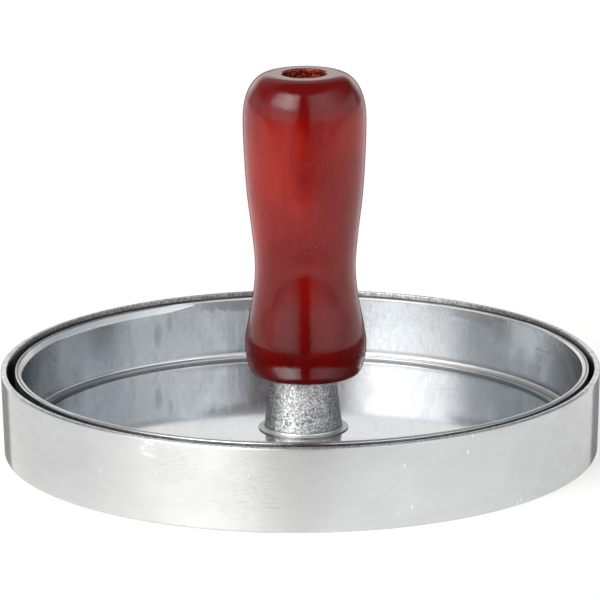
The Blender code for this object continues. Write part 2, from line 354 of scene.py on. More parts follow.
def shift_and_lean(x, y, z):
    """Moves the boss, its hole and the turned floor off-centre, and lets the dish fall towards +Y.

    The underside, the boss's flat top and the hole stay level.
    """
    radius = math.hypot(x, y)
    if z <= UNDERSIDE_CHAMFER:
        return x, y, z
    if radius <= TAPPED_HOLE_MOUTH:
        return x + HOLE_SHIFT, y, z
    if radius > BOSS_SKIRT_RADIUS:
        outward = smoothstep(BOSS_SKIRT_RADIUS, FLOOR_TURNED_RADIUS, radius)
        shift = BOSS_SHIFT + (FLOOR_TURNED_SHIFT - BOSS_SHIFT) * outward
        on_floor = radius <= FLOOR_TURNED_RADIUS and z < CAST_FLOOR + CAST_STEP
        return x + (shift if on_floor else 0.0), y, z - DISH_LEAN * y
    above_floor = max(0.0, z - FLOOR_HEIGHT)
    share = 1 - above_floor / (BOSS_TOP_HEIGHT - FLOOR_HEIGHT)
    return x + BOSS_SHIFT, y, z - DISH_LEAN * y * share


def make_press_plate():
    rim = RIM_HEIGHT
    rim_inner = PLATE_RADIUS - RIM_WALL
    wall_foot = rim_inner - WALL_DRAFT
    hole_foot = BOSS_TOP_HEIGHT - TAPPED_HOLE_DEPTH
    boss_edge = (BOSS_TOP_RADIUS, BOSS_TOP_HEIGHT - BOSS_EDGE_ROUND)
    boss_foot = (BOSS_FOOT_RADIUS, SKIRT_TOP + BOSS_FILLET)

    def outline_at(angle):
        filed = filed_share(angle)
        bevel_height = RIM_ROUND + (FILED_HEIGHT - RIM_ROUND) * filed
        bevel_depth = RIM_ROUND + (FILED_DEPTH - RIM_ROUND) * filed
        wall_top = (rim_inner, rim - bevel_height)
        wall_bottom = (wall_foot, CAST_FLOOR + WALL_FILLET)
        points = straight((0.0, 0.0), (PLATE_RADIUS - UNDERSIDE_CHAMFER, 0.0), 8)
        points += straight((PLATE_RADIUS - UNDERSIDE_CHAMFER, 0.0), (PLATE_RADIUS, UNDERSIDE_CHAMFER), 3)
        points += straight((PLATE_RADIUS, UNDERSIDE_CHAMFER), (PLATE_RADIUS, rim - RIM_ROUND), 12)
        points += arc(PLATE_RADIUS - RIM_ROUND, rim - RIM_ROUND, RIM_ROUND, 0, 90, 4)
        points += straight((PLATE_RADIUS - RIM_ROUND, rim), (rim_inner + bevel_depth, rim), 3)[1:]
        points += straight((rim_inner + bevel_depth, rim), wall_top, 5)
        points += straight(wall_top, wall_bottom, 36)
        points += arc(wall_foot - WALL_FILLET, wall_bottom[1], WALL_FILLET, 0, -90, 8)
        points += straight((wall_foot - WALL_FILLET, CAST_FLOOR), (FLOOR_TURNED_RADIUS, CAST_FLOOR), 3)[1:]
        points += straight((FLOOR_TURNED_RADIUS, CAST_FLOOR), (FLOOR_TURNED_RADIUS, FLOOR_HEIGHT), 2)
        points += straight((FLOOR_TURNED_RADIUS, FLOOR_HEIGHT), (BOSS_SKIRT_RADIUS, FLOOR_HEIGHT), 64)
        points += straight((BOSS_SKIRT_RADIUS, FLOOR_HEIGHT), (BOSS_SKIRT_RADIUS, SKIRT_TOP), 2)
        points += straight((BOSS_SKIRT_RADIUS, SKIRT_TOP), (BOSS_FOOT_RADIUS + BOSS_FILLET, SKIRT_TOP), 3)
        points += arc(BOSS_FOOT_RADIUS + BOSS_FILLET, SKIRT_TOP + BOSS_FILLET, BOSS_FILLET, 265, 180, 9)
        points += straight(boss_foot, boss_edge, 92)[1:]
        points += arc(boss_edge[0] - BOSS_EDGE_ROUND, boss_edge[1], BOSS_EDGE_ROUND, 0, 90, 5)
        boss_flat = (boss_edge[0] - BOSS_EDGE_ROUND, BOSS_TOP_HEIGHT)
        points += straight(boss_flat, (TAPPED_HOLE_MOUTH, BOSS_TOP_HEIGHT), 10)[1:]
        points += [
            (TAPPED_HOLE_MOUTH, BOSS_TOP_HEIGHT),
            (TAPPED_HOLE_RADIUS, BOSS_TOP_HEIGHT - TAPPED_HOLE_MOUTH + TAPPED_HOLE_RADIUS),
            (TAPPED_HOLE_RADIUS, hole_foot),
            (0.0, hole_foot - TAPPED_HOLE_RADIUS * 0.6),
        ]
        return [relief(angle, radius, height) for radius, height in points]

    def relief(angle, radius, height):
        """The skin's own unevenness: cast grain on the boss, slow waves on the wall."""
        if height > BOSS_GRAIN_FROM and TAPPED_HOLE_MOUTH < radius < BOSS_SKIRT_RADIUS:
            settled = smoothstep(BOSS_GRAIN_FROM, BOSS_GRAIN_FROM + BOSS_FILLET, height)
            grain = ripple(angle, radius, height, 0.36 * MM)
            grain += 0.7 * ripple(angle, radius, height, 0.8 * MM, 3.0)
            radius += 0.035 * MM * (grain - 0.5) * settled
        elif height > CAST_FLOOR and radius > wall_foot - WALL_FILLET:
            radius += 0.012 * MM * ripple(angle, radius, height, 8 * MM) * smoothstep(rim, rim - MM, height)
        return radius, height

    return turned("plate_skin", outline_at, PLATE_COLUMNS, PLATE_AXIS, shift_and_lean)


# ---- Handle ------------------------------------------------------------------------------------

def make_handle():
    stations = [(height * MM, radius * MM) for height, radius in HANDLE_STATIONS]
    first, last = stations[0], stations[-1]
    seat = HANDLE_LENGTH - WELL_DEPTH
    base = straight((HANDLE_BORE_RADIUS, 0.0), (HANDLE_FOOT_RADIUS, 0.0), 8)
    base += rounded_end(HANDLE_FOOT_RADIUS, 0.0, first[1], first[0], FOOT_FULLNESS, 26)[::-1]
    base += smooth_side(stations, 20)[1:-1]
    base += rounded_end(HANDLE_TOP_RADIUS, HANDLE_LENGTH, last[1], last[0], SHOULDER_FULLNESS, 40)
    base += straight((HANDLE_TOP_RADIUS, HANDLE_LENGTH), (WELL_RADIUS + WELL_CHAMFER, HANDLE_LENGTH), 4)[1:]
    base += arc(WELL_RADIUS + WELL_CHAMFER, HANDLE_LENGTH - WELL_CHAMFER, WELL_CHAMFER, 90, 180, 5)
    base += straight((WELL_RADIUS, HANDLE_LENGTH - WELL_CHAMFER), (WELL_RADIUS, seat), 44)[1:]
    base += straight((WELL_RADIUS, seat), (HANDLE_BORE_RADIUS, seat), 4)
    base += straight((HANDLE_BORE_RADIUS, seat), (HANDLE_BORE_RADIUS, 0.0), 10)

    def outline_at(angle):
        points = []
        for radius, height in base:
            in_well = radius < WELL_RADIUS + WELL_CHAMFER / 2
            if in_well:
                rough = 0.045 * MM * ripple(angle, radius, height / 2, 0.45 * MM)
                radius += rough * smoothstep(0.0, 2 * MM, HANDLE_LENGTH - height)
            elif height > 0.0:
                radius += 0.012 * MM * ripple(angle, radius, height / 3, 4 * MM)
                radius += 0.004 * MM * ripple(angle, radius, height, 1.1 * MM, 5.0)
            points.append((radius, height))
        return points

    location = HANDLE_AXIS + Vector((0.0, 0.0, HANDLE_FOOT))
    return turned("handle_skin", outline_at, HANDLE_COLUMNS, location)


# ---- Screw and washer --------------------------------------------------------------------------

def thread_radius(angle, height):
    """The shank's radius at a height above the tip, on a V thread that runs out at both ends."""
    phase = (height / THREAD_PITCH - angle / math.tau) % 1.0
    ridge = min(1.0, 1.15 * abs(2 * phase - 1))
    from_ends = min(height, THREAD_LENGTH - height) / THREAD_PITCH
    depth = THREAD_DEPTH * max(0.0, min(1.0, from_ends))
    tip_taper = THREAD_DEPTH * max(0.0, 1 - height / THREAD_PITCH)
    return SCREW_RADIUS - tip_taper - depth * (1 - ridge)


def make_screw():
    thread_rows = 16 * round(THREAD_LENGTH / THREAD_PITCH)
    head_low = SCREW_LENGTH + HEAD_UNDER_ROUND
    head_side = SCREW_LENGTH + HEAD_SIDE_HEIGHT
    dome = rounded_end(0.0, SCREW_LENGTH + HEAD_HEIGHT, HEAD_RADIUS, head_side, DOME_FULLNESS, 40)

    def outline_at(angle):
        points = [(0.0, 0.0), (SCREW_RADIUS / 2, 0.0)]
        for row in range(thread_rows + 1):
            height = THREAD_LENGTH * row / thread_rows
            points.append((thread_radius(angle, height), height))
        points += straight((SCREW_RADIUS, THREAD_LENGTH), (SCREW_RADIUS, SCREW_LENGTH), 12)[1:]
        points += straight((SCREW_RADIUS, SCREW_LENGTH), (HEAD_RADIUS - HEAD_UNDER_ROUND, SCREW_LENGTH), 4)
        points += arc(HEAD_RADIUS - HEAD_UNDER_ROUND, head_low, HEAD_UNDER_ROUND, -90, 0, 4)
        points += straight((HEAD_RADIUS, head_low), dome[0], 4)[1:]
        return points + dome[:-1] + [(0.0, dome[-1][1])]

    location = HANDLE_AXIS + Vector((0.0, 0.0, SCREW_TIP))
    screw = turned("screw_skin", outline_at, SCREW_COLUMNS, location)
    cut_slot(screw)
    return screw


def cut_slot(screw):
    """Cuts the driver slot across the head. Its edges stay sharp, as sawn."""
    mesh = bpy.data.meshes.new("slot_cutter")
    half_length, half_width = HEAD_RADIUS + MM, SLOT_WIDTH / 2
    low, high = SCREW_LENGTH + HEAD_HEIGHT - SLOT_DEPTH, SCREW_LENGTH + HEAD_HEIGHT + MM
    corners = [(x, y, z) for z in (low, high) for x, y in (
        (-half_length, -half_width), (half_length, -half_width),
        (half_length, half_width), (-half_length, half_width),
    )]
    faces = [(3, 2, 1, 0), (4, 5, 6, 7), (0, 1, 5, 4), (1, 2, 6, 5), (2, 3, 7, 6), (3, 0, 4, 7)]
    mesh.from_pydata(corners, [], faces)
    mesh.transform(Matrix.Rotation(SLOT_TURN, 4, "Z"))
    cutter = bpy.data.objects.new("slot_cutter", mesh)
    cutter.location = screw.location
    bpy.context.scene.collection.objects.link(cutter)
    cut = screw.modifiers.new("driver_slot", "BOOLEAN")
    cut.operation = "DIFFERENCE"
    cut.object = cutter
    bpy.context.view_layer.update()
    evaluated = screw.evaluated_get(bpy.context.evaluated_depsgraph_get())
    slotted = bpy.data.meshes.new_from_object(evaluated)
    screw.modifiers.clear()
    screw.data = slotted
    slotted.set_sharp_from_angle(angle=SHARP_ANGLE)
    bpy.data.objects.remove(cutter)


def make_washer():
    edge, thickness = WASHER_EDGE_ROUND, WASHER_THICKNESS
    base = arc(WASHER_HOLE_RADIUS + edge, edge, edge, 180, 270, 3)
    base += arc(WASHER_RADIUS - edge, edge, edge, -90, 0, 3)
    base += arc(WASHER_RADIUS - edge, thickness - edge, edge, 0, 90, 3)
    base += arc(WASHER_HOLE_RADIUS + edge, thickness - edge, edge, 90, 180, 3)
    location = HANDLE_AXIS + Vector((0.0, 0.0, WASHER_FOOT))
    return turned("washer_skin", lambda angle: base, WASHER_COLUMNS, location)


# ---- Materials ---------------------------------------------------------------------------------

class Finish:
    """A procedural material. Each method adds a node and returns the socket that it gives out."""

    def __init__(self, name, **constants):
        self.material = bpy.data.materials.new(name)
        self.material.use_nodes = True
        self.nodes = self.material.node_tree.nodes
        self.links = self.material.node_tree.links
        self.shader = self.nodes["Principled BSDF"]
        self.place = self.nodes.new("ShaderNodeTexCoord").outputs["Object"]
        for socket, value in constants.items():
            self.shader.inputs[socket.replace("_", " ")].default_value = value

    def node(self, kind, inputs, output, **settings):
        made = self.nodes.new(kind)
        for setting, value in settings.items():
            setattr(made, setting, value)
        for socket, value in inputs.items():
            if isinstance(value, bpy.types.NodeSocket):
                self.links.new(value, made.inputs[socket])
            else:
                made.inputs[socket].default_value = value
        return made.outputs[output]

    def feed(self, socket, value):
        self.links.new(value, self.shader.inputs[socket])

    def math(self, operation, first, second=0.0):
        return self.node("ShaderNodeMath", {0: first, 1: second}, 0, operation=operation)

    def both(self, first, *others):
        """The product of masks."""
        for other in others:
            first = self.math("MULTIPLY", first, other)
        return first

    def height(self):
        return self.node("ShaderNodeSeparateXYZ", {0: self.place}, "Z")

    def radius(self):
        """Distance from the object's own upright axis."""
        level = self.stretch(1, 1, 0)
        return self.node("ShaderNodeVectorMath", {0: level}, "Value", operation="LENGTH")

    def stretch(self, x, y, z, turn=(0.0, 0.0, 0.0)):
        """The object's own coordinates, turned, with this many lumps to the metre along each axis."""
        inputs = {"Vector": self.place, "Scale": (x, y, z), "Rotation": turn}
        return self.node("ShaderNodeMapping", inputs, 0)

    def rightward(self):
        """Distance to the right of the object's own axis."""
        return self.node("ShaderNodeSeparateXYZ", {0: self.place}, "X")

    def rings(self, along, across):
        """Coordinates drawn out round the axis, for tool marks on level and upright faces alike."""
        level = self.stretch(along, along, 0)
        crosswise = self.math("MULTIPLY", self.math("ADD", self.radius(), self.height()), across)
        upright = self.node("ShaderNodeCombineXYZ", {"Z": crosswise}, 0)
        return self.node("ShaderNodeVectorMath", {0: level, 1: upright}, 0, operation="ADD")

    def noise(self, vector, detail=2.0, roughness=0.5, distortion=0.0):
        inputs = {"Vector": vector, "Scale": 1.0, "Detail": detail, "Roughness": roughness,
                  "Distortion": distortion}
        return self.node("ShaderNodeTexNoise", inputs, "Fac")

    def spots(self, vector):
        """Distance to the nearest of many scattered points."""
        return self.node("ShaderNodeTexVoronoi", {"Vector": vector, "Scale": 1.0}, "Distance")

    def remap(self, value, low, high, to_low=0.0, to_high=1.0):
        inputs = {"Value": value, "From Min": low, "From Max": high, "To Min": to_low, "To Max": to_high}
        return self.node("ShaderNodeMapRange", inputs, 0, interpolation_type="SMOOTHSTEP")

    def band(self, value, start, full, fade, end):
        """A mask that is 1 while the value is between full and fade, and 0 below start and above end."""
        return self.both(self.remap(value, start, full), self.remap(value, fade, end, 1, 0))

    def near(self, centre, inner, outer):
        """A mask that is 1 within the inner distance of a place on the object and 0 past the outer."""
        away = self.node("ShaderNodeVectorMath", {0: self.place, 1: centre}, "Value", operation="DISTANCE")
        return self.remap(away, inner, outer, 1, 0)

    def patch(self, centre, sizes):
        """An oval mask, 1 at a place on the object and 0 at these distances from it along x, y and z."""
        offset = self.node("ShaderNodeVectorMath", {0: self.place, 1: centre}, 0, operation="SUBTRACT")
        scaled = self.node("ShaderNodeVectorMath", {0: offset, 1: sizes}, 0, operation="DIVIDE")
        away = self.node("ShaderNodeVectorMath", {0: scaled}, "Value", operation="LENGTH")
        return self.remap(away, 0.5, 1.0, 1, 0)

    def patches(self, places):
        """Two oval masks as one."""
        first, second = places
        return self.math("MAXIMUM", self.patch(*first), self.patch(*second))

    def blend(self, factor, first, second):
        """Mixes two colours, each a tuple or a socket."""
        inputs = {"Factor": factor, 6: first, 7: second}
        return self.node("ShaderNodeMix", inputs, 2, data_type="RGBA")

    def bump(self, height, distance, normal=None):
        inputs = {"Height": height, "Distance": distance}
        if normal is not None:
            inputs["Normal"] = normal
        return self.node("ShaderNodeBump", inputs, 0)

    def edge_shade(self, low, high, at_edge):
        """Painted shade at the outline: 1 where the surface faces the eye, falling to at_edge where it is
        seen at a glancing angle, so that its reflection dims there.
        """
        facing = self.node("ShaderNodeLayerWeight", {"Blend": 0.5}, "Facing")
        return self.remap(facing, low, high, 1, at_edge)

    def turned_tangent(self):
        return self.node("ShaderNodeTangent", {}, 0, direction_type="RADIAL", axis="Z")


def grey(level, warmth=0.0):
    """A metal's reflectance, a little warmer or cooler than neutral."""
    return (level * (1 + warmth), level, level * (1 - warmth), 1.0)


def on_ring(azimuth, height):
    """A place on the outside of the mould ring; azimuth in degrees from the front, + to the right."""
    angle = math.radians(azimuth)
    return (RING_RADIUS * math.sin(angle), -RING_RADIUS * math.cos(angle), height)


def ring_aluminium():
    """Drawn tube, brushed round the outside, with handling scuffs, a painted glint below its top edge and
    painted shade at its outline; rough within, and darker deeper down inside, with tarnish and painted gap
    shade.
    """
    skin = Finish("ring_aluminium", Metallic=1.0, Anisotropic=0.75, Anisotropic_Rotation=0.25)
    # Painted shade: the ring's reflection is dimmed where it is seen edge-on, which gives dark lines at its
    # outline.
    skin.feed("Specular Tint", skin.edge_shade(0.775, 0.830, 0.25))
    radius, height = skin.radius(), skin.height()
    inner = RING_RADIUS - RING_WALL
    within = skin.both(
        skin.remap(radius, inner + 0.05 * MM, inner + 0.15 * MM, 1, 0),
        skin.remap(height, RING_HEIGHT - 0.2 * MM, RING_HEIGHT - 0.1 * MM, 1, 0),
    )
    top = skin.remap(height, RING_HEIGHT - 0.25 * MM, RING_HEIGHT - 0.1 * MM)
    face = skin.remap(radius, inner + 0.2 * MM, inner + 0.3 * MM)
    lines = skin.noise(skin.rings(120, 3600), 3, 0.6)
    clouds = skin.noise(skin.stretch(55, 55, 90), 4, 0.6, 0.3)
    smears = skin.noise(skin.stretch(230, 230, 900), 5, 0.7, 0.5)
    slanting = skin.noise(skin.stretch(500, 500, 3200, (0.0, math.radians(24), 0.0)), 4, 0.7, 0.6)
    scuffed = skin.math("MAXIMUM", *(
        skin.near(on_ring(azimuth, level), 1 * MM, reach) for azimuth, level, reach in RING_SCUFFS
    ))
    scuffs = skin.both(skin.remap(slanting, 0.50, 0.64), scuffed, face)
    marks = skin.spots(skin.stretch(420, 420, 210, (0.0, math.radians(-35), 0.0)))
    mark_field = skin.remap(skin.noise(skin.stretch(75, 75, 110), 2), 0.54, 0.64)
    nicks = skin.both(skin.remap(marks, 0.05, 0.16, 1, 0), mark_field, face)
    painted_glint = skin.both(
        skin.near(on_ring(GLINT_AZIMUTH, GLINT_HEIGHT), 0.4 * MM, 3.2 * MM),
        skin.remap(smears, 0.46, 0.58),
        face,
    )
    grain = skin.noise(skin.stretch(1400, 1400, 1400), 4, 0.7)

    metal = skin.blend(skin.remap(clouds, 0.32, 0.68), grey(0.63, 0.004), grey(0.69, 0.002))
    metal = skin.blend(skin.both(skin.remap(smears, 0.48, 0.72, 0, 0.55), face), metal, grey(0.65, 0.003))
    metal = skin.blend(skin.both(skin.remap(lines, 0.40, 0.70, 0, 0.30), face), metal, grey(0.62, 0.004))
    metal = skin.blend(skin.math("MULTIPLY", scuffs, 0.5), metal, grey(0.40, 0.0))
    metal = skin.blend(skin.math("MULTIPLY", nicks, 0.8), metal, grey(0.95, 0.0))
    # Painted highlight: the glint patch below the top edge is lightened nearly to white.
    metal = skin.blend(skin.math("MULTIPLY", painted_glint, 0.8), metal, grey(0.99))
    cut_edge = skin.blend(skin.remap(grain, 0.36, 0.60), grey(0.52, 0.01), grey(0.88, 0.0))
    metal = skin.blend(top, metal, cut_edge)
    sawn = skin.blend(skin.remap(grain, 0.38, 0.62), grey(0.26, 0.05), grey(0.62, 0.03))
    # Painted shade and tarnish: the inner wall more than about a millimetre below the top, in the narrow
    # gap round the press, is made dark.
    gap_shade_and_tarnish = skin.blend(skin.remap(clouds, 0.36, 0.64), grey(0.12, 0.01), grey(0.21, 0.01))
    sawn = skin.blend(skin.remap(height, RING_HEIGHT - 1.1 * MM, RING_HEIGHT - 0.8 * MM), gap_shade_and_tarnish, sawn)
    metal = skin.blend(within, metal, sawn)
    skin.feed("Base Color", metal)
    rough = skin.remap(smears, 0.4, 0.7, 0.40, 0.48)
    skin.feed("Roughness", skin.math("ADD", rough, skin.math("MULTIPLY", within, 0.10)))
    relief = skin.math("MULTIPLY", lines, 0.002 * MM)
    relief = skin.math("SUBTRACT", relief, skin.math("MULTIPLY", scuffs, 0.004 * MM))
    relief = skin.math("ADD", relief, skin.both(grain, within, 0.02 * MM))
    skin.feed("Normal", skin.bump(relief, 1.0))
    skin.feed("Tangent", skin.turned_tangent())
    return skin.material


class PlateMasks:
    """Where on the press plate each kind of surface is: sockets that give 1 there and 0 elsewhere."""

    def __init__(self, skin):
        self.skin = skin
        self.radius = skin.radius()
        self.height = skin.height()
        self.from_boss = self.distance_from(BOSS_SHIFT)
        self.from_turning_axis = self.distance_from(FLOOR_TURNED_SHIFT)
        self.outside = skin.remap(self.radius, PLATE_RADIUS - 0.2 * MM, PLATE_RADIUS - 0.1 * MM)
        self.inside = skin.math("SUBTRACT", 1.0, self.outside)
        # The plate's outside below the rim, in the gap inside the ring, which takes painted shade and
        # tarnish.
        self.in_the_gap = skin.both(self.outside, skin.remap(self.height, 18.4 * MM, 19.2 * MM, 1, 0))
        self.mark_wall()
        self.mark_rim()
        self.mark_boss()
        self.mark_ledge()
        self.matt = skin.math("MAXIMUM", self.skirt, self.ledge)
        # The steps at the floor's and the skirt's edges and the line on the ledge, where painted shade
        # goes.
        self.step = skin.math("MAXIMUM", self.floor_step,
                              skin.math("MAXIMUM", self.skirt_step, self.ledge_shade_line))

    def distance_from(self, shift):
        """Distance from an upright axis that lies this far to the right of the plate's own."""
        inputs = {0: self.skin.stretch(1, 1, 0), 1: (shift, 0, 0)}
        return self.skin.node("ShaderNodeVectorMath", inputs, "Value", operation="DISTANCE")

    def mark_wall(self):
        """The wall's inside, a line of painted shade at its foot, the ragged soot below its rim, two
        smudges.
        """
        skin = self.skin
        self.wall = skin.both(
            skin.remap(self.radius, FLOOR_TURNED_RADIUS + 0.6 * MM, FLOOR_TURNED_RADIUS + 1.0 * MM),
            skin.remap(self.height, CAST_FLOOR + 0.35 * WALL_FILLET, CAST_FLOOR + 0.6 * WALL_FILLET),
        )
        self.beyond_left = skin.remap(skin.rightward(), -34 * MM, -18 * MM)
        self.wall_foot = skin.both(
            self.wall,
            self.beyond_left,
            skin.remap(self.height, CAST_FLOOR + WALL_FILLET, CAST_FLOOR + 2.2 * WALL_FILLET, 1, 0),
        )
        ragged = skin.math("MULTIPLY", skin.noise(skin.stretch(260, 260, 120), 3, 0.7), 5 * MM)
        soot_height = skin.math("ADD", self.height, ragged)
        below_rim = skin.remap(soot_height, 18.2 * MM, 19.6 * MM)
        self.soot = skin.both(self.wall, skin.patches(SOOT_PATCHES), below_rim)
        self.smudges = skin.both(self.wall, skin.patches(SMUDGE_PATCHES))

    def mark_rim(self):
        """The bright rim with its filed edge, and a broken dark line round it."""
        skin = self.skin
        rim_inner = PLATE_RADIUS - RIM_WALL
        self.rim = skin.both(
            skin.remap(self.radius, rim_inner + 0.03 * MM, rim_inner + 0.08 * MM),
            self.inside,
        )
        inward = skin.math("SUBTRACT", PLATE_RADIUS, self.radius)
        self.rim_line = skin.both(
            self.rim,
            skin.band(inward, 0.28 * MM, 0.36 * MM, 0.70 * MM, 0.80 * MM),
            skin.remap(skin.noise(skin.stretch(45, 45, 45), 2), 0.34, 0.46),
        )

    def mark_boss(self):
        """The grainy boss, the dark line at its foot, the flat skirt round it and the skirt's edge, which
        takes painted shade.
        """
        skin = self.skin
        grain_starts = BOSS_GRAIN_FROM - 0.1 * MM
        edge = BOSS_SKIRT_RADIUS
        self.boss = skin.both(
            skin.remap(self.from_boss, edge, edge + 0.1 * MM, 1, 0),
            skin.remap(self.height, grain_starts, BOSS_GRAIN_FROM),
        )
        self.boss_foot = skin.both(
            self.boss,
            skin.remap(self.height, BOSS_GRAIN_FROM, BOSS_GRAIN_FROM + 0.5 * MM, 1, 0),
        )
        self.skirt = skin.both(
            skin.remap(self.from_boss, edge - 0.03 * MM, edge, 1, 0),
            skin.remap(self.height, grain_starts, BOSS_GRAIN_FROM, 1, 0),
        )
        self.skirt_step = skin.band(self.from_boss,
                                    edge - 0.03 * MM, edge, edge + 0.02 * MM, edge + 0.08 * MM)

    def mark_ledge(self):
        """The cast ledge, narrower at the left, the step down to the floor and a line on the ledge at the
        right; the step and that line take painted shade.
        """
        skin = self.skin
        edge = FLOOR_TURNED_RADIUS
        lip = skin.remap(self.from_turning_axis, edge + 1.3 * MM, edge + 1.9 * MM, 1, 0)
        self.ledge = skin.both(
            skin.remap(self.from_turning_axis, edge + 0.02 * MM, edge + 0.06 * MM),
            skin.math("MAXIMUM", lip, self.beyond_left),
            skin.remap(self.height, CAST_FLOOR + 0.35 * WALL_FILLET, CAST_FLOOR + 0.6 * WALL_FILLET, 1, 0),
            self.inside,
        )
        self.floor_step = skin.band(self.from_turning_axis,
                                    edge - 0.25 * MM, edge - 0.10 * MM, edge + 0.02 * MM, edge + 0.05 * MM)
        uneven = skin.math("MULTIPLY", skin.noise(skin.stretch(60, 60, 60), 2), 12 * MM)
        self.ledge_shade_line = skin.both(
            skin.band(self.radius, edge + 0.55 * MM, edge + 0.70 * MM, edge + 0.95 * MM, edge + 1.10 * MM),
            self.ledge,
            skin.remap(skin.math("ADD", skin.rightward(), uneven), 12 * MM, 20 * MM),
        )


def plate_aluminium():
    """One casting: bright turned floor and wall, matt cast ledge, sparkling cast boss."""
    skin = Finish("plate_aluminium", Metallic=1.0, Specular_Tint=grey(0.75),
                  Anisotropic=0.5, Anisotropic_Rotation=0.25)
    on = PlateMasks(skin)
    lines = skin.noise(skin.rings(25, 1500), 4, 0.7)
    streaks = skin.noise(skin.stretch(40, 1100, 1100), 3, 0.6)
    smears = skin.noise(skin.stretch(110, 110, 55), 5, 0.7, 1.0)
    brushed = skin.noise(skin.stretch(1500, 1500, 380), 3, 0.65)
    specks = skin.noise(skin.stretch(1500, 1500, 1500), 3, 0.65, 1.4)
    lumps = skin.noise(skin.stretch(420, 420, 420), 2, 0.5)

    metal = skin.blend(skin.remap(lines, 0.40, 0.70), grey(0.78, -0.010), grey(0.75, -0.010))
    metal = skin.blend(skin.remap(streaks, 0.50, 0.68, 0, 0.35), metal, grey(0.60, -0.01))
    wall_metal = skin.blend(skin.remap(smears, 0.36, 0.66), grey(0.63, -0.022), grey(0.56, -0.034))
    wall_metal = skin.blend(skin.remap(brushed, 0.42, 0.70, 0, 0.30), wall_metal, grey(0.40, -0.05))
    wall_metal = skin.blend(skin.both(on.soot, 0.55), wall_metal, grey(0.26, -0.02))
    wall_metal = skin.blend(skin.both(on.smudges, 0.55), wall_metal, grey(0.30))
    # Painted shade: a darker line along the foot of the wall.
    wall_metal = skin.blend(skin.both(on.wall_foot, 0.45), wall_metal, grey(0.24))
    metal = skin.blend(on.wall, metal, wall_metal)
    cast = skin.blend(skin.remap(specks, 0.44, 0.58), grey(0.36, -0.01), grey(0.92))
    cast = skin.blend(skin.both(on.boss_foot, 0.7), cast, grey(0.20))
    metal = skin.blend(on.boss, metal, cast)
    metal = skin.blend(on.matt, metal, grey(0.86, 0.006))
    metal = skin.blend(on.rim, metal, grey(0.97, 0.002))
    metal = skin.blend(skin.both(on.rim_line, 0.8), metal, grey(0.16))
    # Painted shade: the small steps and the line on the ledge are made dark.
    metal = skin.blend(skin.both(on.step, 0.75), metal, grey(0.16))
    # Painted shade and tarnish: the plate's outside deep in the gap is made dark.
    gap_shade_and_tarnish = skin.blend(skin.remap(smears, 0.36, 0.64), grey(0.12, 0.01), grey(0.21, 0.01))
    metal = skin.blend(on.in_the_gap, metal, gap_shade_and_tarnish)
    skin.feed("Base Color", metal)

    rough = skin.remap(lines, 0.3, 0.7, 0.06, 0.11)
    wall_rough = skin.remap(smears, 0.36, 0.66, 0.07, 0.20)
    for mask, added in (
        (on.wall, wall_rough), (on.soot, 0.20), (on.matt, 0.36), (on.rim, 0.24),
        (on.step, 0.35), (on.in_the_gap, 0.35), (on.boss, 0.22),
    ):
        rough = skin.math("ADD", rough, skin.both(mask, added))
    skin.feed("Roughness", rough)

    relief = skin.math("MULTIPLY", lines, 0.0003 * MM)
    for mask, texture, depth in (
        (on.wall, smears, 0.03 * MM), (on.wall, brushed, 0.004 * MM), (on.soot, lumps, 0.05 * MM),
        (on.matt, lumps, 0.05 * MM), (on.boss, specks, 0.16 * MM),
    ):
        relief = skin.math("ADD", relief, skin.both(mask, texture, depth))
    skin.feed("Normal", skin.bump(relief, 1.0))
    skin.feed("Tangent", skin.turned_tangent())
    return skin.material


